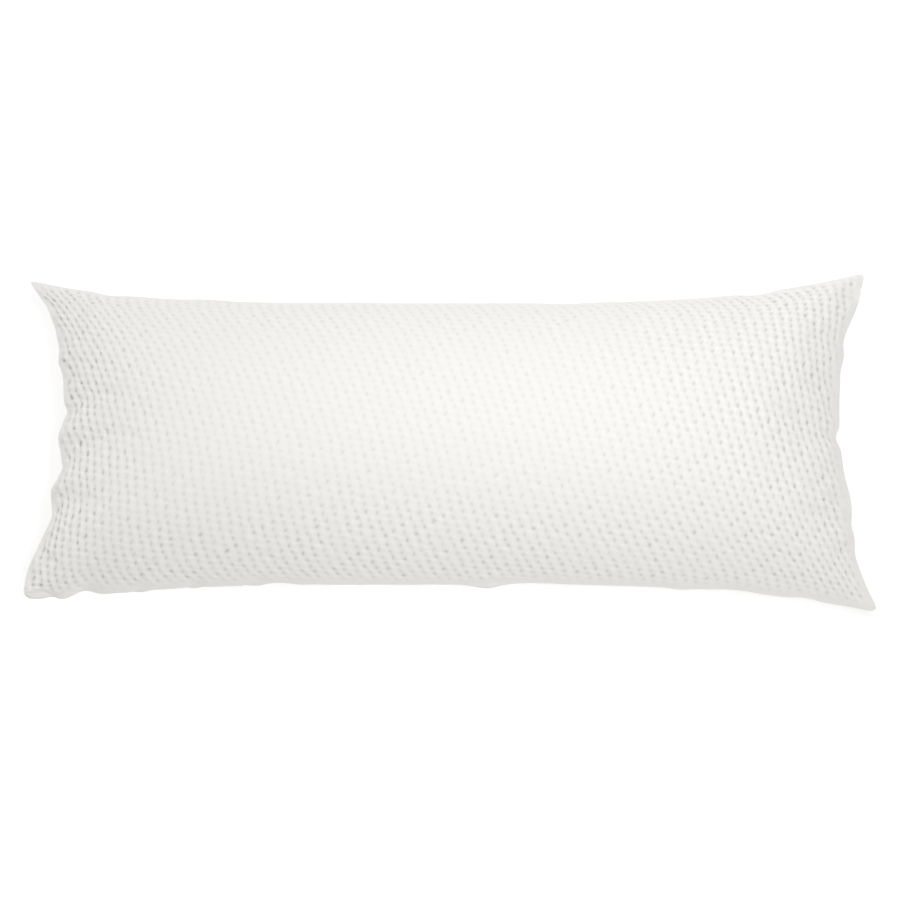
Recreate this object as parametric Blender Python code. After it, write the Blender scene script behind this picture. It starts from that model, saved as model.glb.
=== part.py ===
# A body pillow, filled and lying on its back panel with its face up.
# A maker cuts two flat rectangles of knitted fabric, the face and the back, and sews them together
# all round. Filled, the panels crown, the sides draw in and the corners stand out as flat ears.
# Metres. +X runs along the pillow, +Y across it and +Z up. The surface that it lies on is Z = 0.

import math
from collections import namedtuple

import bmesh
import bpy

# ---- the filled pillow ----
CROWN_RISE = 0.113  # the top of the face above the seam
SEAM_HEIGHT = 0.076  # the seam above the surface, at the middle of each side
SEAM_EDGE = 0.005  # thickness of the sewn edge, where the two panels are stitched together

# How full the crown is. Higher numbers keep it level for longer and then turn it down more steeply.
FULLNESS_ALONG = 3.5
FULLNESS_ACROSS = 2.1
SHOULDER_ALONG = 0.60
SHOULDER_ACROSS_MIDDLE = 0.76
SHOULDER_ACROSS_ENDS = 0.56

# The flat patch that the back rests on, as shares of the pillow's length and width, and how round the
# back turns up from it to the seam.
REST_ALONG = 0.64
REST_ACROSS = 0.53
UNDERSIDE_TURN = 1.6
UNDERSIDE_SHOULDER = 0.85

# ---- the corners: place in plan, height of the seam there, and radius of the ear's tip ----
Corner = namedtuple("Corner", "x y height tip_radius")
NEAR_LEFT = Corner(-0.652, -0.257, 0.062, 0.030)
NEAR_RIGHT = Corner(0.658, -0.266, 0.050, 0.013)
FAR_LEFT = Corner(-0.650, 0.253, 0.050, 0.006)
FAR_RIGHT = Corner(0.651, 0.265, 0.056, 0.014)

# ---- the sides: where the seam runs at the middle of each side, and how it flares to its corners ----
# middle is the seam's Y on the long sides and its X on the ends. A high flare keeps the side straight
# until close to the corner, and a low one lets it curve all the way from the middle.
Side = namedtuple("Side", "middle flare_low flare_high")
FAR_SIDE = Side(middle=0.211, flare_low=4.0, flare_high=3.5)
NEAR_SIDE = Side(middle=-0.226, flare_low=3.8, flare_high=3.2)
LEFT_END = Side(middle=-0.587, flare_low=1.45, flare_high=3.2)
RIGHT_END = Side(middle=0.600, flare_low=2.7, flare_high=3.0)

# ---- folds at the seam, where the cloth is gathered or stands out ----
# at: place along the side, X on the long sides and Y on the ends
# half_width: half of the fold's width at the seam
# draw_in: how far the seam is pulled in there, and below zero how far it stands out
# depth: how deep the crease is in the panels, and below zero how high the ridge
# reach: how far the crease runs into the panels from the seam
# slant: how far the crease moves along the side for each metre that it runs inwards
Fold = namedtuple("Fold", "at half_width draw_in depth reach slant")
LEFT_FOLDS = [
    Fold(at=0.174, half_width=0.015, draw_in=0.002, depth=0.002, reach=0.050, slant=0.2),
    Fold(at=0.145, half_width=0.017, draw_in=0.000, depth=0.003, reach=0.060, slant=0.5),
    Fold(at=0.120, half_width=0.020, draw_in=-0.005, depth=-0.003, reach=0.060, slant=0.5),
    Fold(at=0.086, half_width=0.019, draw_in=0.000, depth=0.004, reach=0.070, slant=0.6),
    Fold(at=0.041, half_width=0.014, draw_in=0.007, depth=0.003, reach=0.060, slant=0.5),
    Fold(at=0.000, half_width=0.030, draw_in=-0.008, depth=-0.004, reach=0.070, slant=0.4),
    Fold(at=-0.044, half_width=0.019, draw_in=0.001, depth=0.004, reach=0.060, slant=0.5),
    Fold(at=-0.076, half_width=0.030, draw_in=-0.006, depth=-0.004, reach=0.070, slant=0.5),
    Fold(at=-0.124, half_width=0.027, draw_in=0.004, depth=0.004, reach=0.060, slant=0.6),
    Fold(at=-0.190, half_width=0.054, draw_in=-0.006, depth=0.002, reach=0.070, slant=0.3),
]
RIGHT_FOLDS = [
    Fold(at=0.208, half_width=0.058, draw_in=-0.008, depth=0.003, reach=0.070, slant=-0.3),
    Fold(at=0.127, half_width=0.024, draw_in=-0.004, depth=-0.004, reach=0.040, slant=0.0),
    Fold(at=0.083, half_width=0.022, draw_in=-0.001, depth=0.005, reach=0.060, slant=0.2),
    Fold(at=0.000, half_width=0.019, draw_in=0.007, depth=0.008, reach=0.055, slant=0.1),
    Fold(at=-0.089, half_width=0.093, draw_in=-0.012, depth=-0.003, reach=0.080, slant=0.0),
    Fold(at=-0.135, half_width=0.014, draw_in=0.001, depth=0.005, reach=0.050, slant=0.2),
    Fold(at=-0.156, half_width=0.026, draw_in=-0.004, depth=-0.002, reach=0.045, slant=0.2),
]
FAR_FOLDS = [
    Fold(at=-0.520, half_width=0.035, draw_in=0.003, depth=0.004, reach=0.070, slant=0.5),
    Fold(at=-0.370, half_width=0.060, draw_in=-0.002, depth=0.002, reach=0.050, slant=0.2),
    Fold(at=-0.140, half_width=0.045, draw_in=-0.001, depth=0.002, reach=0.045, slant=-0.2),
    Fold(at=0.180, half_width=0.050, draw_in=0.002, depth=0.002, reach=0.050, slant=0.1),
    Fold(at=0.480, half_width=0.040, draw_in=0.004, depth=0.005, reach=0.080, slant=-0.4),
]
NEAR_FOLDS = [
    Fold(at=-0.552, half_width=0.030, draw_in=0.009, depth=0.006, reach=0.070, slant=0.6),
    Fold(at=-0.468, half_width=0.032, draw_in=-0.003, depth=-0.003, reach=0.050, slant=0.4),
    Fold(at=-0.385, half_width=0.026, draw_in=0.001, depth=0.004, reach=0.050, slant=0.3),
    Fold(at=-0.258, half_width=0.038, draw_in=0.004, depth=0.004, reach=0.045, slant=0.2),
    Fold(at=-0.060, half_width=0.050, draw_in=-0.001, depth=0.002, reach=0.040, slant=0.0),
    Fold(at=0.055, half_width=0.038, draw_in=-0.006, depth=-0.002, reach=0.040, slant=0.0),
    Fold(at=0.130, half_width=0.060, draw_in=0.003, depth=0.003, reach=0.045, slant=-0.2),
    Fold(at=0.353, half_width=0.026, draw_in=-0.003, depth=-0.002, reach=0.040, slant=-0.2),
    Fold(at=0.436, half_width=0.056, draw_in=0.003, depth=0.003, reach=0.050, slant=-0.3),
    Fold(at=0.545, half_width=0.032, draw_in=0.003, depth=0.006, reach=0.070, slant=-0.6),
]

# ---- the grid of cells on each panel ----
CELLS_ALONG = 70
CELLS_ACROSS = 32
EDGE_CLOSENESS = 0.16  # how much narrower than the average the cells at the seam are

KNIT_COLOUR = (0.885, 0.870, 0.840, 1.0)
KNIT_ROUGHNESS = 0.9


def mix(low, high, share):
    return low + (high - low) * share


def closer_to_edges(position):
    """Moves a grid line, from -1 to 1, so that the lines lie closer together towards the seam."""
    return position * (1.0 + EDGE_CLOSENESS * (1.0 - position * position))


def flared(side, low_corner, high_corner, position):
    """Where the seam runs on a side, with position going from -1 at the low corner to 1 at the high one."""
    corner, flare = (high_corner, side.flare_high) if position > 0 else (low_corner, side.flare_low)
    return mix(side.middle, corner, abs(position) ** flare)


def nearest_corner(along, across):
    if along < 0:
        return NEAR_LEFT if across < 0 else FAR_LEFT
    return NEAR_RIGHT if across < 0 else FAR_RIGHT


def round_tip(along, across):
    """Draws the square corner of the panel in to a round one, so that the ear has a blunt tip."""
    corner = nearest_corner(along, across)
    share_along = corner.tip_radius / abs(corner.x)
    share_across = corner.tip_radius / abs(corner.y)
    into_along = (abs(along) - 1.0 + share_along) / share_along
    into_across = (abs(across) - 1.0 + share_across) / share_across
    if into_along <= 0 or into_across <= 0:
        return along, across
    round_along = into_along * math.sqrt(1.0 - 0.5 * into_across**2)
    round_across = into_across * math.sqrt(1.0 - 0.5 * into_along**2)
    return (
        math.copysign(1.0 - share_along + share_along * round_along, along),
        math.copysign(1.0 - share_across + share_across * round_across, across),
    )


def fold_strength(fold, place, inwards):
    """1 at the middle of a fold on the seam, falling to 0 across its width and over its reach."""
    if inwards >= fold.reach:
        return 0.0
    spread = fold.half_width * (1.0 + 0.8 * inwards / fold.reach)
    off_centre = abs(place - fold.at - fold.slant * inwards) / spread
    if off_centre >= 1.0:
        return 0.0
    across_fold = math.cos(0.5 * math.pi * off_centre) ** 2
    return across_fold * (1.0 - inwards / fold.reach) ** 1.5


def plan_point(along, across):
    """The place in plan of a point on either panel, before its folds."""
    far_y = flared(FAR_SIDE, FAR_LEFT.y, FAR_RIGHT.y, along)
    near_y = flared(NEAR_SIDE, NEAR_LEFT.y, NEAR_RIGHT.y, along)
    left_x = flared(LEFT_END, NEAR_LEFT.x, FAR_LEFT.x, across)
    right_x = flared(RIGHT_END, NEAR_RIGHT.x, FAR_RIGHT.x, across)
    x = mix(left_x, right_x, 0.5 + 0.5 * along)
    y = mix(near_y, far_y, 0.5 + 0.5 * across)
    from_sides = [
        (LEFT_FOLDS, x - left_x, y, 1.0, 0.0),
        (RIGHT_FOLDS, right_x - x, y, -1.0, 0.0),
        (NEAR_FOLDS, y - near_y, x, 0.0, 1.0),
        (FAR_FOLDS, far_y - y, x, 0.0, -1.0),
    ]
    return x, y, from_sides


def seam_height(along, across):
    """The seam hangs lower at the ears than at the middle of the sides."""
    left = mix(NEAR_LEFT.height, FAR_LEFT.height, 0.5 + 0.5 * across)
    right = mix(NEAR_RIGHT.height, FAR_RIGHT.height, 0.5 + 0.5 * across)
    ear_height = mix(left, right, 0.5 + 0.5 * along)
    return mix(SEAM_HEIGHT, ear_height, abs(along * across) ** 3)


def crown(along, across):
    """1 at the middle of the panel and 0 at the seam."""
    shoulder_across = mix(SHOULDER_ACROSS_MIDDLE, SHOULDER_ACROSS_ENDS, abs(along) ** 3)
    fall_along = max(0.0, 1.0 - abs(along) ** FULLNESS_ALONG)
    fall_across = max(0.0, 1.0 - abs(across) ** FULLNESS_ACROSS)
    return fall_along**SHOULDER_ALONG * fall_across**shoulder_across


def underside_rise(along, across):
    """0 on the flat patch that the back rests on, and 1 at the seam."""
    pressed = 1.0
    for position, rest in ((along, REST_ALONG), (across, REST_ACROSS)):
        beyond = min(1.0, max(0.0, (abs(position) - rest) / (1.0 - rest)))
        pressed *= (1.0 - beyond**UNDERSIDE_TURN) ** UNDERSIDE_SHOULDER
    return 1.0 - pressed


def panel_point(grid_x, grid_y, is_face):
    """A point of the face or the back, from its place on the square grid, which runs from -1 to 1."""
    along, across = round_tip(closer_to_edges(grid_x), closer_to_edges(grid_y))
    x, y, from_sides = plan_point(along, across)
    crease = 0.0
    for folds, inwards, place, inward_x, inward_y in from_sides:
        for fold in folds:
            strength = fold_strength(fold, place, max(0.0, inwards))
            x += inward_x * fold.draw_in * strength
            y += inward_y * fold.draw_in * strength
            crease += fold.depth * strength
    seam = seam_height(along, across)
    rise = crown(along, across)
    crease *= min(1.0, 4.0 * rise)  # the sewn edge itself has no crease
    if is_face:
        return x, y, seam + 0.5 * SEAM_EDGE + CROWN_RISE * rise - crease
    lifted = underside_rise(along, across)
    return x, y, (seam - 0.5 * SEAM_EDGE) * lifted + crease * lifted


def build_pillow():
    """Both panels on one grid, joined all round by the sewn edge, as one closed and filled solid."""
    mesh_edit = bmesh.new()
    bmesh.ops.create_grid(mesh_edit, x_segments=CELLS_ALONG, y_segments=CELLS_ACROSS, size=1.0)
    back_points = mesh_edit.verts[:]
    raised = bmesh.ops.extrude_face_region(mesh_edit, geom=mesh_edit.faces[:], use_keep_orig=True)
    face_points = [item for item in raised["geom"] if isinstance(item, bmesh.types.BMVert)]
    for points, is_face in ((back_points, False), (face_points, True)):
        for point in points:
            point.co = panel_point(point.co.x, point.co.y, is_face)

    # The middle of the finished pillow is set over the origin.
    for axis in range(2):
        places = [point.co[axis] for point in mesh_edit.verts]
        middle = 0.5 * (min(places) + max(places))
        for point in mesh_edit.verts:
            point.co[axis] -= middle
    bmesh.ops.recalc_face_normals(mesh_edit, faces=mesh_edit.faces)

    mesh = bpy.data.meshes.new("pillow")
    mesh_edit.to_mesh(mesh)
    mesh_edit.free()
    mesh.shade_smooth()
    pillow = bpy.data.objects.new("pillow", mesh)
    bpy.context.scene.collection.objects.link(pillow)
    return pillow


def knitted_fabric():
    """White knitted polyester and viscose, matt and slightly warm."""
    fabric = bpy.data.materials.new("white_knitted_fabric")
    fabric.use_nodes = True
    shader = fabric.node_tree.nodes["Principled BSDF"]
    shader.inputs["Base Color"].default_value = KNIT_COLOUR
    shader.inputs["Roughness"].default_value = KNIT_ROUGHNESS
    shader.inputs["Metallic"].default_value = 0.0
    return fabric


for leftover in list(bpy.data.objects):
    bpy.data.objects.remove(leftover)

build_pillow().data.materials.append(knitted_fabric())
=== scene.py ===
# A long body pillow in a white dimpled knit, filled, lying on its back panel with its face up.
# Two flat panels are sewn together all round and simulated as filled cloth. The knit is then laid over
# that shell as a fine mesh whose rows follow the dimples, so that each dimple is real relief.
# Metres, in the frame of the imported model: +X along the pillow, +Y across it, +Z up.

import math
from collections import namedtuple

import bmesh
import bpy
import numpy as np
from mathutils import Matrix, Vector


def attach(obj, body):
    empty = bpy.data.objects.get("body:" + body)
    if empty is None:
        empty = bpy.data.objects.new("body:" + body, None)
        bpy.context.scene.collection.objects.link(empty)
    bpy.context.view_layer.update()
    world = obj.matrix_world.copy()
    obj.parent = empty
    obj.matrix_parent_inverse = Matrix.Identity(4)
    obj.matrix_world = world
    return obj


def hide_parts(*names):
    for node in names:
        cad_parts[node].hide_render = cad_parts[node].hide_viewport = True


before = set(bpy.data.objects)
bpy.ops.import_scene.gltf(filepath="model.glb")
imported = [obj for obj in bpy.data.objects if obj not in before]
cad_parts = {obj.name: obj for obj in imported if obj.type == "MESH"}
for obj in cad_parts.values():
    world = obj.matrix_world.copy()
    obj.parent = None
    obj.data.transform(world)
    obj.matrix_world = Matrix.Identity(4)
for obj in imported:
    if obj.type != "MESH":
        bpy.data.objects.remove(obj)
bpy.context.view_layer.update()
print("frame loaded")


def mix(low, high, share):
    return low + (high - low) * share


def srgb(hexCode):
    # an sRGB hex colour as the linear values that a shader socket takes
    channels = [int(hexCode[place:place + 2], 16) / 255 for place in (1, 3, 5)]
    return [c / 12.92 if c <= 0.04045 else ((c + 0.055) / 1.055) ** 2.4 for c in channels] + [1.0]


def addNode(tree, kind, settings=(), links=()):
    # settings are attributes or input sockets, and links are input sockets with what feeds them
    node = tree.nodes.new(kind)
    for name, value in dict(settings).items():
        if isinstance(name, str) and hasattr(node, name):
            setattr(node, name, value)
        else:
            node.inputs[name].default_value = value
    for name, source in dict(links).items():
        tree.links.new(source, node.inputs[name])
    return node


# The sewn shell. Corners: place in plan, height of the seam there, and radius of the ear's tip.
Corner = namedtuple("Corner", "x y height tipRadius")
nearLeft = Corner(-0.652, -0.257, 0.062, 0.030)
nearRight = Corner(0.658, -0.266, 0.050, 0.013)
farLeft = Corner(-0.650, 0.253, 0.050, 0.006)
farRight = Corner(0.651, 0.265, 0.056, 0.014)

# Sides: where the seam runs at the middle of the side, and how it flares to its low and high corner.
Side = namedtuple("Side", "middle flareLow flareHigh")
farSide = Side(0.211, 4.0, 3.5)
nearSide = Side(-0.226, 3.8, 3.2)
leftEnd = Side(-0.587, 1.45, 3.2)
rightEnd = Side(0.600, 2.7, 3.0)

# Folds at the seam. at: place along the side. drawIn: how far the seam is pulled in, or stands out below
# zero. depth: of the crease in the panels, or the ridge's height below zero. reach: how far it runs in.
# slant: how far it moves along the side for each metre that it runs in.
Fold = namedtuple("Fold", "at halfWidth drawIn depth reach slant")
leftFolds = [
    Fold(0.174, 0.015, 0.002, 0.002, 0.050, 0.2),
    Fold(0.145, 0.017, 0.000, 0.003, 0.060, 0.5),
    Fold(0.120, 0.020, -0.005, -0.003, 0.060, 0.5),
    Fold(0.086, 0.019, 0.000, 0.004, 0.070, 0.6),
    Fold(0.041, 0.014, 0.007, 0.003, 0.060, 0.5),
    Fold(0.000, 0.030, -0.008, -0.004, 0.070, 0.4),
    Fold(-0.044, 0.019, 0.001, 0.004, 0.060, 0.5),
    Fold(-0.076, 0.030, -0.006, -0.004, 0.070, 0.5),
    Fold(-0.124, 0.027, 0.004, 0.004, 0.060, 0.6),
    Fold(-0.190, 0.054, -0.006, 0.002, 0.070, 0.3),
]
rightFolds = [
    Fold(0.208, 0.058, -0.008, 0.003, 0.070, -0.3),
    Fold(0.127, 0.024, -0.004, -0.004, 0.040, 0.0),
    Fold(0.083, 0.022, -0.001, 0.005, 0.060, 0.2),
    Fold(0.000, 0.019, 0.007, 0.008, 0.055, 0.1),
    Fold(-0.089, 0.093, -0.012, -0.003, 0.080, 0.0),
    Fold(-0.135, 0.014, 0.001, 0.005, 0.050, 0.2),
    Fold(-0.156, 0.026, -0.004, -0.002, 0.045, 0.2),
]
farFolds = [
    Fold(-0.520, 0.035, 0.003, 0.004, 0.070, 0.5),
    Fold(-0.370, 0.060, -0.002, 0.002, 0.050, 0.2),
    Fold(-0.140, 0.045, -0.001, 0.002, 0.045, -0.2),
    Fold(0.180, 0.050, 0.002, 0.002, 0.050, 0.1),
    Fold(0.480, 0.040, 0.004, 0.005, 0.080, -0.4),
]
nearFolds = [
    Fold(-0.552, 0.030, 0.009, 0.006, 0.070, 0.6),
    Fold(-0.468, 0.032, -0.003, -0.003, 0.050, 0.4),
    Fold(-0.385, 0.026, 0.001, 0.004, 0.050, 0.3),
    Fold(-0.258, 0.038, 0.004, 0.004, 0.045, 0.2),
    Fold(-0.060, 0.050, -0.001, 0.002, 0.040, 0.0),
    Fold(0.055, 0.038, -0.006, -0.002, 0.040, 0.0),
    Fold(0.130, 0.060, 0.003, 0.003, 0.045, -0.2),
    Fold(0.353, 0.026, -0.003, -0.002, 0.040, -0.2),
    Fold(0.436, 0.056, 0.003, 0.003, 0.050, -0.3),
    Fold(0.545, 0.032, 0.003, 0.006, 0.070, -0.6),
]

cover = {
    "cutLength": 1.290,  # the flat panels between their seams
    "cutWidth": 0.525,
    "ease": -0.003,  # how much more cloth there is than the filled shape needs, as a share
    "easeLeft": 0.025,  # and how much is gathered into the seam at each end
    "easeRight": 0.020,
    "easeHold": 8,
    "cellsAlong": 160,  # cloth cells of about 8 mm
    "cellsAcross": 62,
    "slideAlong": 0.080,  # how much further apart than the average the cells are seen from above
    "slideAcross": 0.20,
    "slideSharpAlong": 4,  # and how near the ends and sides they close up
    "slideSharpAcross": 2.6,
    "slideHold": 8,
    "seamHeight": 0.076,
    "earHold": 3,  # how near its corner the seam leaves that height for the ear's
    "crownRise": 0.113,
    "fullnessAlong": 3.5,
    "fullnessAcross": 2.1,
    "shoulderAlong": 0.60,
    "shoulderAcrossMiddle": 0.76,
    "shoulderAcrossEnds": 0.56,
    "restAlong": 0.64,  # the share of the back that lies flat
    "restAcross": 0.53,
    "undersideTurn": 1.6,
    "undersideShoulder": 0.85,
    "creaseRoot": 0.25,  # how high up the crown the folds reach their full depth
}
filling = {
    "frames": 30,
    "quality": 8,
    "pressure": 3.0,
    "stretch": 15.0,
    "shear": 5.0,
    "bend": 0.15,
    "mass": 0.3,
    "airDrag": 2.0,
    "clearance": 0.0015,  # kept between the cloth and the floor
    "slabSize": 1.5,
    "slabThickness": 0.001,
    "friction": 5,
}


def slid(position, slide, sharpness, hold):
    # moves a grid line, from -1 to 1, towards the seam, where the cloth turns steeply down
    freed = 1 - np.abs(hold) ** cover["slideHold"]
    return position * (1 + slide * (1 - np.abs(position) ** sharpness) * freed)


def flared(side, lowCorner, highCorner, position):
    corner = np.where(position > 0, highCorner, lowCorner)
    flare = np.where(position > 0, side.flareHigh, side.flareLow)
    return mix(side.middle, corner, np.abs(position) ** flare)


def roundTip(along, across):
    # draws the panel's square corner in to a round one, so that the ear has a blunt tip
    shareAlong = np.zeros_like(along)
    shareAcross = np.zeros_like(across)
    for corner in (nearLeft, nearRight, farLeft, farRight):
        here = ((along < 0) == (corner.x < 0)) & ((across < 0) == (corner.y < 0))
        shareAlong[here] = corner.tipRadius / abs(corner.x)
        shareAcross[here] = corner.tipRadius / abs(corner.y)
    intoAlong = (np.abs(along) - 1 + shareAlong) / shareAlong
    intoAcross = (np.abs(across) - 1 + shareAcross) / shareAcross
    inTip = (intoAlong > 0) & (intoAcross > 0)
    roundAlong = intoAlong * np.sqrt(1 - 0.5 * np.clip(intoAcross, 0, 1) ** 2)
    roundAcross = intoAcross * np.sqrt(1 - 0.5 * np.clip(intoAlong, 0, 1) ** 2)
    return (
        np.where(inTip, np.copysign(1 - shareAlong + shareAlong * roundAlong, along), along),
        np.where(inTip, np.copysign(1 - shareAcross + shareAcross * roundAcross, across), across),
    )


def foldStrength(fold, place, inwards):
    # 1 at the middle of a fold on the seam, falling to 0 across its width and over its reach
    run = np.clip(inwards / fold.reach, 0, 1)
    offCentre = np.abs(place - fold.at - fold.slant * inwards) / (fold.halfWidth * (1 + 0.8 * run))
    return np.cos(0.5 * math.pi * np.minimum(offCentre, 1)) ** 2 * (1 - run) ** 1.5


def crown(along, across):
    # 1 at the middle of the panel and 0 at the seam
    shoulder = mix(cover["shoulderAcrossMiddle"], cover["shoulderAcrossEnds"], np.abs(along) ** 3)
    fallAlong = np.maximum(0, 1 - np.abs(along) ** cover["fullnessAlong"])
    fallAcross = np.maximum(0, 1 - np.abs(across) ** cover["fullnessAcross"])
    return fallAlong ** cover["shoulderAlong"] * fallAcross**shoulder


def undersideRise(along, across):
    # 0 on the flat patch that the back rests on, and 1 at the seam
    pressed = 1.0
    for position, rest in ((along, cover["restAlong"]), (across, cover["restAcross"])):
        beyond = np.clip((np.abs(position) - rest) / (1 - rest), 0, 1)
        pressed = pressed * (1 - beyond ** cover["undersideTurn"]) ** cover["undersideShoulder"]
    return 1 - pressed


def panelPoints(gridX, gridY, onFace):
    # places in the frame for points of a panel, from their places on the flat cut, from -1 to 1
    along = slid(gridX, cover["slideAlong"], cover["slideSharpAlong"], gridY)
    across = slid(gridY, cover["slideAcross"], cover["slideSharpAcross"], gridX)
    along, across = roundTip(along, across)
    farY = flared(farSide, farLeft.y, farRight.y, along)
    nearY = flared(nearSide, nearLeft.y, nearRight.y, along)
    leftX = flared(leftEnd, nearLeft.x, farLeft.x, across)
    rightX = flared(rightEnd, nearRight.x, farRight.x, across)
    x = mix(leftX, rightX, 0.5 + 0.5 * along)
    y = mix(nearY, farY, 0.5 + 0.5 * across)
    crease = np.zeros_like(x)
    moveX = np.zeros_like(x)
    moveY = np.zeros_like(x)
    fromSides = (
        (leftFolds, x - leftX, y, 1, 0),
        (rightFolds, rightX - x, y, -1, 0),
        (nearFolds, y - nearY, x, 0, 1),
        (farFolds, farY - y, x, 0, -1),
    )
    for folds, inwards, place, inwardX, inwardY in fromSides:
        for fold in folds:
            strength = foldStrength(fold, place, inwards)
            moveX += inwardX * fold.drawIn * strength
            moveY += inwardY * fold.drawIn * strength
            crease += fold.depth * strength
    leftHeight = mix(nearLeft.height, farLeft.height, 0.5 + 0.5 * across)
    rightHeight = mix(nearRight.height, farRight.height, 0.5 + 0.5 * across)
    earHeight = mix(leftHeight, rightHeight, 0.5 + 0.5 * along)
    seam = mix(cover["seamHeight"], earHeight, np.abs(along * across) ** cover["earHold"])
    rise = crown(along, across)
    lifted = undersideRise(along, across)
    crease *= np.minimum(1, rise / cover["creaseRoot"])
    faceZ = seam + cover["crownRise"] * rise - crease
    backZ = seam * lifted + crease * lifted + filling["clearance"]
    onSeam = (np.abs(gridX) > 0.9999) | (np.abs(gridY) > 0.9999)
    z = np.where(onSeam, seam, faceZ if onFace else backZ)
    return np.stack([x + moveX, y + moveY, z], axis=-1)


def shellGrids():
    # the face and the back as grids of points, set so that the outline's middle is over the origin
    lines = [np.linspace(-1, 1, cover[name] + 1) for name in ("cellsAlong", "cellsAcross")]
    gridX, gridY = np.meshgrid(*lines, indexing="ij")
    grids = [panelPoints(gridX, gridY, onFace) for onFace in (True, False)]
    for axis in range(2):
        middle = 0.5 * (grids[0][..., axis].min() + grids[0][..., axis].max())
        for grid in grids:
            grid[..., axis] -= middle
    return grids


def sewShell(grids):
    # both panels as one closed mesh that share the seam, with each point's place on the cut kept
    columns, rows = cover["cellsAlong"], cover["cellsAcross"]
    edit = bmesh.new()
    bmesh.ops.create_grid(edit, x_segments=columns, y_segments=rows, size=1.0)
    column, row, panel = [edit.verts.layers.int.new(name) for name in ("column", "row", "panel")]
    for point in edit.verts:
        point[column] = round((point.co.x + 1) / 2 * columns)
        point[row] = round((point.co.y + 1) / 2 * rows)
    seamPoints = [point for point in edit.verts if point.is_boundary]
    back = bmesh.ops.duplicate(edit, geom=edit.faces[:])["geom"]
    bmesh.ops.reverse_faces(edit, faces=[item for item in back if isinstance(item, bmesh.types.BMFace)])
    for item in back:
        if isinstance(item, bmesh.types.BMVert):
            item[panel] = 1
    for point in edit.verts:
        point.co = grids[point[panel]][point[column], point[row]]
    seamPoints += [point for point in edit.verts if point.is_boundary and point[panel] == 1]
    bmesh.ops.remove_doubles(edit, verts=seamPoints, dist=1e-6)
    edit.verts.index_update()
    places = [(point[panel], point[column], point[row]) for point in edit.verts]
    mesh = bpy.data.meshes.new("sewnShell")
    edit.to_mesh(mesh)
    edit.free()
    shell = bpy.data.objects.new("sewnShell", mesh)
    bpy.context.scene.collection.objects.link(shell)
    return shell, places


def fillShell(grids):
    # simulates the filling as pressure in the sewn shell, and gives the two grids back as they end up
    shell, places = sewShell(grids)
    columns, rows = cover["cellsAlong"], cover["cellsAcross"]
    shell.shape_key_add(name="Basis")
    sewnFrom = shell.shape_key_add(name="sewnFrom")
    seam = shell.vertex_groups.new(name="seam")
    cutScale = 1 + cover["ease"]
    for index, (panel, column, row) in enumerate(places):
        along = 2 * column / columns - 1
        ease = cover["easeLeft" if along < 0 else "easeRight"] * abs(along) ** cover["easeHold"]
        place = shell.data.vertices[index].co
        sewnFrom.data[index].co = (place.x * cutScale, place.y * (cutScale + ease), place.z)
        if column in (0, columns) or row in (0, rows):
            seam.add([index], 1.0, "REPLACE")
    # cloth ignores the rest shape unless some modifier comes before it, so this one is there to do nothing
    shell.modifiers.new("keepsRestShape", "UV_PROJECT")
    cloth = shell.modifiers.new("cloth", "CLOTH")
    settings = cloth.settings
    settings.quality = filling["quality"]
    settings.mass = filling["mass"]
    settings.tension_stiffness = filling["stretch"]
    settings.compression_stiffness = filling["stretch"]
    settings.shear_stiffness = filling["shear"]
    settings.bending_stiffness = filling["bend"]
    settings.air_damping = filling["airDrag"]
    settings.use_pressure = True
    settings.uniform_pressure_force = filling["pressure"]
    settings.vertex_group_mass = "seam"
    settings.rest_shape_key = sewnFrom
    settings.effector_weights.gravity = 0
    cloth.collision_settings.distance_min = filling["clearance"]
    cloth.collision_settings.use_self_collision = False
    cloth.point_cache.frame_end = filling["frames"] + 1

    edit = bmesh.new()
    bmesh.ops.create_grid(edit, x_segments=1, y_segments=1, size=filling["slabSize"])
    slab = bpy.data.meshes.new("slab")
    edit.to_mesh(slab)
    edit.free()
    ground = bpy.data.objects.new("slab", slab)
    bpy.context.scene.collection.objects.link(ground)
    ground.modifiers.new("holds", "COLLISION")
    ground.collision.thickness_outer = filling["slabThickness"]
    ground.collision.cloth_friction = filling["friction"]

    for step in range(1, filling["frames"] + 1):
        bpy.context.scene.frame_set(step)
    filled = shell.evaluated_get(bpy.context.evaluated_depsgraph_get()).to_mesh()
    for point, (panel, column, row) in zip(filled.vertices, places):
        sewn = column in (0, columns) or row in (0, rows)
        for side in (0, 1) if sewn else (panel,):
            grids[side][column, row] = point.co
    for helper in (shell, ground):
        bpy.data.objects.remove(helper)
    bpy.context.scene.frame_set(1)
    return grids


# The dimpled knit, on the flat cut.
knit = {
    "alongStep": Vector((0.0165, -0.0026)),  # from one dimple to the next along a row
    "downStep": Vector((0.0040, -0.0125)),  # and from one row to the next
    "pointsAlong": 4,  # mesh cells between two dimples
    "pointsDown": 3,
    "pitDepth": 0.0011,
    "bowlDepth": 0.0031,  # the wide hollow round a pit, which leaves the puffs between
    "pitNarrow": (1.6, 0.0, 0.9),  # how fast a pit fades along its row, across it and on the diagonal
    "bowlNarrow": (0.5, 0.2, 0.3),
    "wobble": 0.0009,  # how far each of the waves below bends the rows
    "alternate": 0.75,  # every second dimple is this much as deep
    "uneven": 0.35,  # how much each dimple's depth differs by chance
    "taut": 0.38,  # and those in the middle, where the filling stretches the knit
    "gathered": 0.5,  # how much deeper they are where the knit is gathered into the left seam
    "gatheredReach": 0.06,
    "plainBack": 0.035,  # the back panel is plain this far from the seam
    "snap": 0.0014,  # mesh lines this close to the cut's edge move onto it
    "lip": 0.0013,  # how far the sewn edge stands out
    "lipWidth": 0.0015,
    "stitchWidth": 0.0021,
    "stitchHeight": 0.0016,
}

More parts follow.
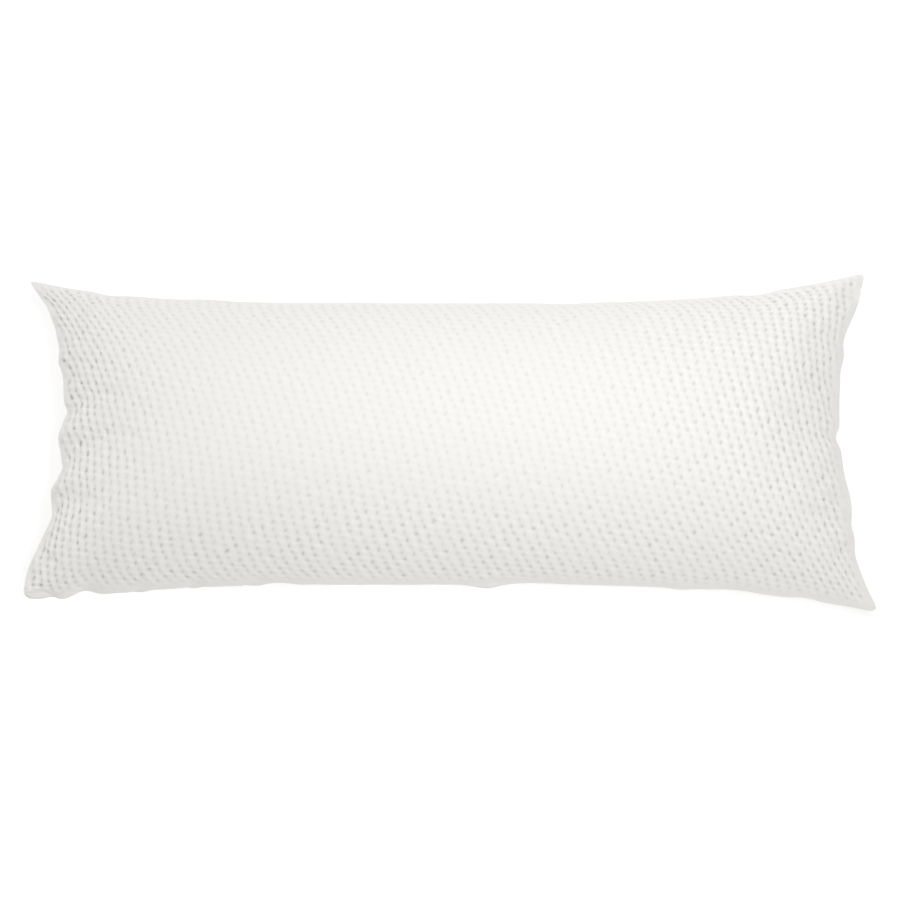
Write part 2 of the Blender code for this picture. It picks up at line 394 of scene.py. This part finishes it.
# The knit's rows are not quite straight. These waves shift them along X and along Y.
Wave = namedtuple("Wave", "turnX turnY start")
wobbleX = (Wave(103.0, 146.0, 0.0), Wave(233.0, -180.0, 1.3))
wobbleY = (Wave(128.0, -97.0, 0.7), Wave(171.0, 240.0, 2.1))

# How the dimples change towards each side's seam, as distances on the flat cut: they fade over plain, and
# they deepen from begins to full, where the knit is slacker, to depth.
Edge = namedtuple("Edge", "plain begins full depth")
knitEdges = {
    "left": Edge(0.010, 0.30, 0.00, 0.90),
    "right": Edge(0.024, 0.50, 0.08, 0.86),
    "near": Edge(0.030, 0.20, 0.09, 0.72),
    "far": Edge(0.010, 0.12, 0.02, 0.46),
}

# Small puckers that the seam thread pulls into each end, ridges above zero and hollows below.
Pucker = namedtuple("Pucker", "at halfWidth height reach slant")
puckerRoot = 0.010  # they rise from the seam over this distance
leftPuckers = [
    Pucker(0.144, 0.014, -0.0035, 0.045, 0.5),
    Pucker(0.118, 0.013, 0.0040, 0.035, 0.5),
    Pucker(0.086, 0.016, -0.0040, 0.050, 0.6),
    Pucker(0.055, 0.013, 0.0045, 0.032, 0.5),
    Pucker(0.034, 0.011, -0.0035, 0.045, 0.5),
    Pucker(0.004, 0.020, 0.0045, 0.038, 0.4),
    Pucker(-0.040, 0.018, -0.0035, 0.050, 0.5),
    Pucker(-0.083, 0.014, 0.0055, 0.034, 0.6),
    Pucker(-0.110, 0.014, -0.0035, 0.045, 0.6),
]
rightPuckers = [
    Pucker(0.125, 0.016, 0.0020, 0.024, 0.0),
    Pucker(0.085, 0.014, -0.0025, 0.034, 0.2),
    Pucker(0.002, 0.013, -0.0035, 0.036, 0.1),
    Pucker(-0.018, 0.011, 0.0030, 0.022, 0.0),
    Pucker(-0.134, 0.012, -0.0030, 0.034, 0.2),
]

# Tucks, where the seam is pulled in and the back panel stands out below it. at: place along the side.
Tuck = namedtuple("Tuck", "at halfWidth pullIn bulge")
leftTucks = [
    Tuck(0.206, 0.036, 0.002, 0.004),
    Tuck(-0.055, 0.030, 0.006, 0.008),
    Tuck(-0.150, 0.070, 0.005, 0.008),
]
rightTucks = [
    Tuck(0.228, 0.024, -0.001, 0.006),
    Tuck(-0.060, 0.050, 0.004, 0.006),
]
nearTucks = [
    Tuck(0.100, 1.200, 0.002, 0.004),
    Tuck(-0.622, 0.036, 0.015, 0.013),
    Tuck(-0.466, 0.026, 0.006, 0.007),
    Tuck(-0.385, 0.018, 0.004, 0.006),
    Tuck(-0.290, 0.026, 0.006, 0.007),
    Tuck(0.063, 0.036, 0.006, 0.007),
]
tuckShape = {
    "rise": 0.4,  # how far the seam goes up for each metre that it is pulled in
    "fade": 0.018,  # how far in from the seam the panels follow it
    "bulgeAt": 0.012,  # where below the seam the back stands out most
}


def smooth(share):
    # eases from 0 to 1 with no kink at either end
    share = np.clip(share, 0, 1)
    return share * share * (3 - 2 * share)


def fromSeams(flatX, flatY):
    # how far each point is from each side's seam, on the flat cut
    halfLength, halfWidth = cover["cutLength"] / 2, cover["cutWidth"] / 2
    return {
        "left": halfLength + flatX,
        "right": halfLength - flatX,
        "near": halfWidth + flatY,
        "far": halfWidth - flatY,
    }


def puckerHeights(placeY, seams):
    # how far the puckers lift each point along its normal
    heights = np.zeros_like(placeY)
    for puckers, inside in ((leftPuckers, seams["left"]), (rightPuckers, seams["right"])):
        for pucker in puckers:
            heights += pucker.height * foldStrength(pucker, placeY, inside) * smooth(inside / puckerRoot)
    return heights


def tuckMoves(points, flat, onBack):
    # how far the tucks move each point, from its place and from its place on the cut
    inside = fromSeams(flat[:, 0], flat[:, 1])
    nearest = np.minimum.reduce(list(inside.values()))
    moves = np.zeros_like(points)
    for tucks, place, side, outwards in (
        (leftTucks, points[:, 1], "left", (-1, 0, 0)),
        (rightTucks, points[:, 1], "right", (1, 0, 0)),
        (nearTucks, points[:, 0], "near", (0, -1, 0)),
    ):
        follows = np.exp(-((inside[side] / tuckShape["fade"]) ** 2))
        # the bulge is nothing on any seam, so that the panels still meet there
        below = onBack * nearest / tuckShape["bulgeAt"] * np.exp(1 - inside[side] / tuckShape["bulgeAt"])
        for tuck in tucks:
            offCentre = np.abs(place - tuck.at) / tuck.halfWidth
            strength = np.cos(0.5 * math.pi * np.minimum(offCentre, 1)) ** 2
            moves += np.outer(strength * (tuck.bulge * below - tuck.pullIn * follows), outwards)
            moves[:, 2] += strength * tuck.pullIn * follows * tuckShape["rise"]
    return moves


def knitPanel():
    # a flat panel of mesh cells that line up with the dimples, cut to size
    halfLength, halfWidth = cover["cutLength"] / 2, cover["cutWidth"] / 2
    lattice = Matrix((knit["alongStep"], knit["downStep"])).transposed()
    corners = [lattice.inverted() @ Vector((halfLength, side * halfWidth)) for side in (-1, 1)]
    countAlong = math.ceil(max(abs(corner.x) for corner in corners)) + 1
    countDown = math.ceil(max(abs(corner.y) for corner in corners)) + 1
    edit = bmesh.new()
    bmesh.ops.create_grid(
        edit,
        x_segments=2 * countAlong * knit["pointsAlong"],
        y_segments=2 * countDown * knit["pointsDown"],
        size=1.0,
    )
    skew = (lattice @ Matrix(((countAlong, 0), (0, countDown)))).to_4x4()
    bmesh.ops.transform(edit, matrix=skew, verts=edit.verts)
    for point in edit.verts:
        for axis, half in enumerate((halfLength, halfWidth)):
            if abs(abs(point.co[axis]) - half) < knit["snap"]:
                point.co[axis] = math.copysign(half, point.co[axis])
    for outwards, half in (((1, 0, 0), halfLength), ((0, 1, 0), halfWidth)):
        for sign in (-1, 1):
            normal = sign * Vector(outwards)
            everything = edit.verts[:] + edit.edges[:] + edit.faces[:]
            bmesh.ops.bisect_plane(
                edit, geom=everything, dist=1e-6, plane_co=normal * half, plane_no=normal, clear_outer=True
            )
    bmesh.ops.recalc_face_normals(edit, faces=edit.faces)
    if edit.faces[0].normal.z < 0:
        bmesh.ops.reverse_faces(edit, faces=edit.faces)
    return edit


def bSpline(share):
    # the weights of four neighbouring points in a cubic B-spline
    return (
        (1 - share) ** 3 / 6,
        (3 * share**3 - 6 * share**2 + 4) / 6,
        (-3 * share**3 + 3 * share**2 + 3 * share + 1) / 6,
        share**3 / 6,
    )


def overShell(grid, shareAlong, shareAcross):
    # points of a smooth surface through a panel's grid, for shares from 0 to 1 of its length and width
    padded = grid
    for axis in range(2):
        lines = np.moveaxis(padded, axis, 0)
        before = 2 * lines[:1] - lines[1:2]
        after = 2 * lines[-1:] - lines[-2:-1]
        padded = np.moveaxis(np.concatenate([before, lines, after]), 0, axis)
    cells = []
    for share, count in ((shareAlong, grid.shape[0] - 1), (shareAcross, grid.shape[1] - 1)):
        place = np.clip(share, 0, 1) * count
        cell = np.minimum(place.astype(int), count - 1)
        cells.append((cell, bSpline(place - cell)))
    (cellAlong, weightsAlong), (cellAcross, weightsAcross) = cells
    points = np.zeros((len(shareAlong), 3))
    for stepAlong in range(4):
        for stepAcross in range(4):
            weight = weightsAlong[stepAlong] * weightsAcross[stepAcross]
            points += weight[:, None] * padded[cellAlong + stepAlong, cellAcross + stepAcross]
    return points


def latticeRows():
    # the two lines of numbers that turn a place on the cut into steps along and down the dimples
    inverse = Matrix((knit["alongStep"], knit["downStep"])).transposed().inverted()
    return inverse[0], inverse[1]


def wobbled(flatX, flatY):
    # where the knit's even pattern has each point of the cut
    shifts = [
        sum(np.sin(wave.turnX * flatX + wave.turnY * flatY + wave.start) for wave in waves)
        for waves in (wobbleX, wobbleY)
    ]
    return flatX + knit["wobble"] * shifts[0], flatY + knit["wobble"] * shifts[1]


def latticePlaces(flatX, flatY):
    # how many steps along and down the dimples each point of the cut is
    knitX, knitY = wobbled(flatX, flatY)
    return [line[0] * knitX + line[1] * knitY for line in latticeRows()]


chanceTurns = (12.9898, 78.233)  # they give each dimple its own number from 0 to 1, the same each run
chanceSpread = 43758.5453


def dimpleDepths(flatX, flatY, onBack):
    # how deep the dimples are at each point, from 0 on the plain edges to about 1
    alongRow, downRows = latticePlaces(flatX, flatY)
    second = 0.5 - 0.5 * np.cos(math.pi * (alongRow + downRows))
    depths = mix(1, knit["alternate"], second)
    turns = chanceTurns[0] * np.round(alongRow) + chanceTurns[1] * np.round(downRows)
    chance = np.mod(np.sin(turns) * chanceSpread, 1)
    depths *= 1 + knit["uneven"] * (2 * chance - 1)
    inside = fromSeams(flatX, flatY)
    slack = np.full_like(flatX, knit["taut"])
    plain = np.ones_like(flatX)
    for side, edge in knitEdges.items():
        grown = smooth((edge.begins - inside[side]) / (edge.begins - edge.full))
        slack = np.maximum(slack, mix(knit["taut"], edge.depth, grown))
        plain *= smooth(inside[side] / np.where(onBack, knit["plainBack"], edge.plain))
    gathered = 1 + knit["gathered"] * np.exp(-inside["left"] / knit["gatheredReach"])
    return depths * slack * plain * gathered


def dimpleHeights(flatX, flatY, depths):
    # how far each point stands out from the plain cloth: a wide bowl with a pit at every lattice point
    alongRow, downRows = latticePlaces(flatX, flatY)
    offs = [1 - np.cos(math.tau * steps) for steps in (alongRow, downRows, alongRow + downRows)]
    heights = np.zeros_like(flatX)
    for depth, narrow in (("pitDepth", "pitNarrow"), ("bowlDepth", "bowlNarrow")):
        faded = sum(fade * off for fade, off in zip(knit[narrow], offs))
        heights -= knit[depth] * np.exp(-faded)
    nearest = np.minimum.reduce(list(fromSeams(flatX, flatY).values()))
    return depths * heights + knit["lip"] * np.exp(-((nearest / knit["lipWidth"]) ** 2))


def layKnit(grids):
    # lays the fine panels over the filled shell, sews them and raises the dimples
    edit = knitPanel()
    panel = edit.verts.layers.int.new("panel")
    back = bmesh.ops.duplicate(edit, geom=edit.faces[:])["geom"]
    bmesh.ops.reverse_faces(edit, faces=[item for item in back if isinstance(item, bmesh.types.BMFace)])
    for item in back:
        if isinstance(item, bmesh.types.BMVert):
            item[panel] = 1
    flat = np.array([point.co[:] for point in edit.verts])
    knitX, knitY = wobbled(flat[:, 0], flat[:, 1])
    edit.verts.index_update()
    cutPlace = edit.loops.layers.uv.new("cutPlace")
    for face in edit.faces:
        for loop in face.loops:
            loop[cutPlace].uv = (knitX[loop.vert.index], knitY[loop.vert.index])
    onBack = np.array([point[panel] for point in edit.verts]) == 1
    shareAlong = flat[:, 0] / cover["cutLength"] + 0.5
    shareAcross = flat[:, 1] / cover["cutWidth"] + 0.5
    points = np.empty_like(flat)
    for side, chosen in ((0, ~onBack), (1, onBack)):
        points[chosen] = overShell(grids[side], shareAlong[chosen], shareAcross[chosen])
    points += tuckMoves(points, flat, onBack)
    depths = dimpleDepths(flat[:, 0], flat[:, 1], onBack)
    layers = edit.verts.layers.float
    flatX, flatY, dimple = [layers.new(name) for name in ("flatX", "flatY", "dimple")]
    for point, place, cut, depth in zip(edit.verts, points, flat, depths):
        point.co = place
        point[flatX], point[flatY], point[dimple] = cut[0], cut[1], depth
    for edge in edit.edges:
        edge.smooth = not edge.is_boundary  # the seam is a crease, not a rounded edge
    bmesh.ops.remove_doubles(edit, verts=[point for point in edit.verts if point.is_boundary], dist=1e-5)
    edit.normal_update()
    for face in edit.faces:
        face.smooth = True
    cuts = np.array([(point[flatX], point[flatY], point[dimple]) for point in edit.verts])
    placeY = np.array([point.co.y for point in edit.verts])
    heights = puckerHeights(placeY, fromSeams(cuts[:, 0], cuts[:, 1]))
    heights += dimpleHeights(cuts[:, 0], cuts[:, 1], cuts[:, 2])
    moves = [point.normal * height for point, height in zip(edit.verts, heights)]
    for point, move in zip(edit.verts, moves):
        point.co += move
    lowest = min(point.co.z for point in edit.verts)  # it ends up resting on the floor
    for point in edit.verts:
        point.co.z -= lowest
    openEdges = sum(1 for edge in edit.edges if len(edge.link_faces) != 2)
    print("knit laid:", len(edit.faces), "faces,", openEdges, "open edges")
    mesh = bpy.data.meshes.new("pillowCover")
    edit.to_mesh(mesh)
    edit.free()
    pillowCover = bpy.data.objects.new("pillowCover", mesh)
    bpy.context.scene.collection.objects.link(pillowCover)
    return pillowCover


knitMaterial = {
    "cloth": "#F0EEEB",
    # painted highlight: the tops of the puffs are coloured lighter, as if they caught the light
    "paintedPuffHighlight": "#F9F8F6",
    # painted shade: the pits are coloured darker, deeper ones more so, for the shade that falls in them
    "pit": "#D5D4D0",
    "roughness": 0.85,
    "pitNarrow": (2.0, 0.0, 1.1),  # how fast a pit fades along its row, across it and on the diagonal
    "paintedPuffHighlightNarrow": (0.8, 0.6),
    "fuzzScale": 280.0,
    "fuzzDetail": 3.0,
    "fuzzRoughness": 0.65,
    "stitchBump": (0.25, 0.0003),  # strength and distance of each bump
    "fuzzBump": (0.45, 0.0009),
    "pitBump": (0.6, 0.0014),
    "specular": 0.25,
    "sheen": 0.15,
    "sheenRoughness": 0.5,
}


def spots(tree, waves, narrow, sign, depth):
    # soft spots where the waves reach the sign, as strong there as the knit is deep
    fades = []
    for wave, fade in zip(waves, narrow):
        settings = {"operation": "MULTIPLY_ADD", 1: sign * fade, 2: -fade}
        fades.append(addNode(tree, "ShaderNodeMath", settings, {0: wave}).outputs[0])
    total = fades[0]
    for fade in fades[1:]:
        total = addNode(tree, "ShaderNodeMath", {"operation": "ADD"}, {0: total, 1: fade}).outputs[0]
    spot = addNode(tree, "ShaderNodeMath", {"operation": "EXPONENT"}, {0: total})
    strong = addNode(tree, "ShaderNodeMath", {"operation": "MULTIPLY"}, {0: spot.outputs[0], 1: depth})
    return strong.outputs[0]


def bumpSettings(name):
    strength, distance = knitMaterial[name]
    return {"Strength": strength, "Distance": distance}


def whiteDimpleKnit():
    # Polyester and viscose double knit, quilted by the machine into small puffs. The yarn is matt and
    # slightly fuzzy, so it has a soft sheen at grazing angles and no clear highlight.
    # Its colour is painted lighter on the tops of the puffs, a painted highlight, and darker in the pits,
    # painted shade.
    material = bpy.data.materials.new("whiteDimpleKnit")
    material.use_nodes = True
    tree = material.node_tree
    shader = tree.nodes["Principled BSDF"]
    cut = addNode(tree, "ShaderNodeUVMap", {"uv_map": "cutPlace"}).outputs["UV"]

    waves = []
    alongLine, downLine = latticeRows()
    for line in (alongLine, downLine, alongLine + downLine):
        turns = (line[0] * math.tau, line[1] * math.tau, 0)
        turned = addNode(tree, "ShaderNodeVectorMath", {"operation": "DOT_PRODUCT", 1: turns}, {0: cut})
        wave = addNode(tree, "ShaderNodeMath", {"operation": "COSINE"}, {0: turned.outputs["Value"]})
        waves.append(wave.outputs[0])
    depth = addNode(tree, "ShaderNodeAttribute", {"attribute_name": "dimple"}).outputs["Fac"]
    pit = spots(tree, waves, knitMaterial["pitNarrow"], 1, depth)
    paintedPuffHighlight = spots(tree, waves, knitMaterial["paintedPuffHighlightNarrow"], -1, depth)

    # V-shaped knit stitches. Real ones are about 1 mm, under a pixel here, so they are drawn twice that.
    axes = addNode(tree, "ShaderNodeSeparateXYZ", {}, {0: cut})
    across = {"operation": "MULTIPLY", 1: 1 / knit["stitchWidth"]}
    wale = addNode(tree, "ShaderNodeMath", across, {0: axes.outputs["X"]})
    zigzag = addNode(tree, "ShaderNodeMath", {"operation": "PINGPONG", 1: 0.5}, {0: wale.outputs[0]})
    down = {"operation": "MULTIPLY", 1: 1 / knit["stitchHeight"]}
    course = addNode(tree, "ShaderNodeMath", down, {0: axes.outputs["Y"]})
    summed = {0: zigzag.outputs[0], 1: course.outputs[0]}
    phase = addNode(tree, "ShaderNodeMath", {"operation": "ADD"}, summed)
    turned = addNode(tree, "ShaderNodeMath", {"operation": "MULTIPLY", 1: math.tau}, {0: phase.outputs[0]})
    stitch = addNode(tree, "ShaderNodeMath", {"operation": "SINE"}, {0: turned.outputs[0]})
    noise = {
        "Scale": knitMaterial["fuzzScale"],
        "Detail": knitMaterial["fuzzDetail"],
        "Roughness": knitMaterial["fuzzRoughness"],
    }
    fuzz = addNode(tree, "ShaderNodeTexNoise", noise, {"Vector": cut})

    stitchBump = addNode(tree, "ShaderNodeBump", bumpSettings("stitchBump"), {"Height": stitch.outputs[0]})
    fuzzed = {"Height": fuzz.outputs["Fac"], "Normal": stitchBump.outputs[0]}
    fuzzBump = addNode(tree, "ShaderNodeBump", bumpSettings("fuzzBump"), fuzzed)
    pitted = {"Height": pit, "Normal": fuzzBump.outputs[0]}
    pitBump = addNode(tree, "ShaderNodeBump", {"invert": True, **bumpSettings("pitBump")}, pitted)
    # painted highlight: the cloth is mixed lighter on the tops of the puffs, more where the knit is deeper
    raised = {"data_type": "RGBA", 6: srgb(knitMaterial["cloth"]), 7: srgb(knitMaterial["paintedPuffHighlight"])}
    withPaintedHighlight = addNode(tree, "ShaderNodeMix", raised, {0: paintedPuffHighlight}).outputs[2]
    # painted shade: the cloth is mixed darker in the pits, by how deep the knit is there
    paintedPitShade = {"data_type": "RGBA", 7: srgb(knitMaterial["pit"])}
    colour = addNode(tree, "ShaderNodeMix", paintedPitShade, {0: pit, 6: withPaintedHighlight})
    tree.links.new(colour.outputs[2], shader.inputs["Base Color"])
    tree.links.new(pitBump.outputs[0], shader.inputs["Normal"])
    shader.inputs["Roughness"].default_value = knitMaterial["roughness"]
    shader.inputs["Specular IOR Level"].default_value = knitMaterial["specular"]
    shader.inputs["Sheen Weight"].default_value = knitMaterial["sheen"]
    shader.inputs["Sheen Roughness"].default_value = knitMaterial["sheenRoughness"]
    return material


# The room: floor, light and camera.
studio = {
    "elevation": 80.0,  # the photograph looks down on the face, 10 degrees off straight above
    "distance": 4.5,
    "frameWidth": 1.376,  # what the 900 pixels span at the pillow
    "aimRight": 0.0015,
    "aimDown": 0.018,
    "aimHeight": 0.08,
    "sensor": 36.0,
    "floorSize": 25.0,
    "floor": "#F4F4F4",
    "floorRoughness": 0.95,
    "floorGlow": 0.31,  # lifts the paper to plain white, as an exposure for a cut-out does
    "world": "#FFFFFF",
    "worldStrength": 0.495,
    "softboxPlace": Vector((0.28, 0.08, 1.5)),
    "softboxSize": (1.0, 0.8),
    "softboxPower": 7.9,
    "keyFrom": Vector((-0.60, 0.70, 0.50)),  # low from the far left, so that the puffs show
    "keyStrength": 0.76,
    "fillFrom": Vector((0.45, -0.45, 0.95)),  # and high from the near right
    "fillStrength": 0.42,
    "lampAngle": 40.0,
}


def layFloor():
    # matt seamless paper, lit to plain white
    edit = bmesh.new()
    bmesh.ops.create_grid(edit, x_segments=1, y_segments=1, size=studio["floorSize"])
    mesh = bpy.data.meshes.new("floor")
    edit.to_mesh(mesh)
    edit.free()
    floor = bpy.data.objects.new("floor", mesh)
    bpy.context.scene.collection.objects.link(floor)
    paper = bpy.data.materials.new("whiteStudioPaper")
    paper.use_nodes = True
    shader = paper.node_tree.nodes["Principled BSDF"]
    shader.inputs["Base Color"].default_value = srgb(studio["floor"])
    shader.inputs["Emission Color"].default_value = srgb("#FFFFFF")
    shader.inputs["Emission Strength"].default_value = studio["floorGlow"]
    shader.inputs["Roughness"].default_value = studio["floorRoughness"]
    shader.inputs["Specular IOR Level"].default_value = 0.0
    mesh.materials.append(paper)
    return floor


def hangLamp(name, kind, place, settings):
    lamp = bpy.data.lights.new(name, kind)
    for setting, value in settings.items():
        setattr(lamp, setting, value)
    light = bpy.data.objects.new(name, lamp)
    light.location = place
    light.rotation_euler = (-place).to_track_quat("-Z", "Y").to_euler()
    bpy.context.scene.collection.objects.link(light)


def lightRoom():
    world = bpy.data.worlds.new("studio")
    world.use_nodes = True
    background = world.node_tree.nodes["Background"]
    background.inputs["Color"].default_value = srgb(studio["world"])
    background.inputs["Strength"].default_value = studio["worldStrength"]
    bpy.context.scene.world = world
    width, depth = studio["softboxSize"]
    softbox = {"shape": "RECTANGLE", "size": width, "size_y": depth, "energy": studio["softboxPower"]}
    hangLamp("softbox", "AREA", studio["softboxPlace"], softbox)
    for name in ("key", "fill"):
        lamp = {"angle": math.radians(studio["lampAngle"]), "energy": studio[name + "Strength"]}
        hangLamp(name, "SUN", studio[name + "From"], lamp)
    bpy.context.scene.view_settings.view_transform = "Standard"


def placeCamera():
    up = math.radians(studio["elevation"])
    towardsCamera = Vector((0, -math.cos(up), math.sin(up)))
    pictureUp = Vector((0, math.sin(up), math.cos(up)))
    aim = Vector((studio["aimRight"], 0, studio["aimHeight"])) - pictureUp * studio["aimDown"]
    camera = bpy.data.cameras.new("camera")
    camera.sensor_width = studio["sensor"]
    camera.lens = studio["sensor"] * studio["distance"] / studio["frameWidth"]
    view = bpy.data.objects.new("camera", camera)
    view.location = aim + towardsCamera * studio["distance"]
    view.rotation_euler = (-towardsCamera).to_track_quat("-Z", "Y").to_euler()
    bpy.context.scene.collection.objects.link(view)
    bpy.context.scene.camera = view


shell = shellGrids()
shell = fillShell(shell)
print("filling simulated")
pillowCover = layKnit(shell)
pillowCover.data.materials.append(whiteDimpleKnit())
print("knit coloured")
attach(pillowCover, "root")
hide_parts("pillow")
layFloor()
lightRoom()
placeCamera()
print("floor, light and camera placed")
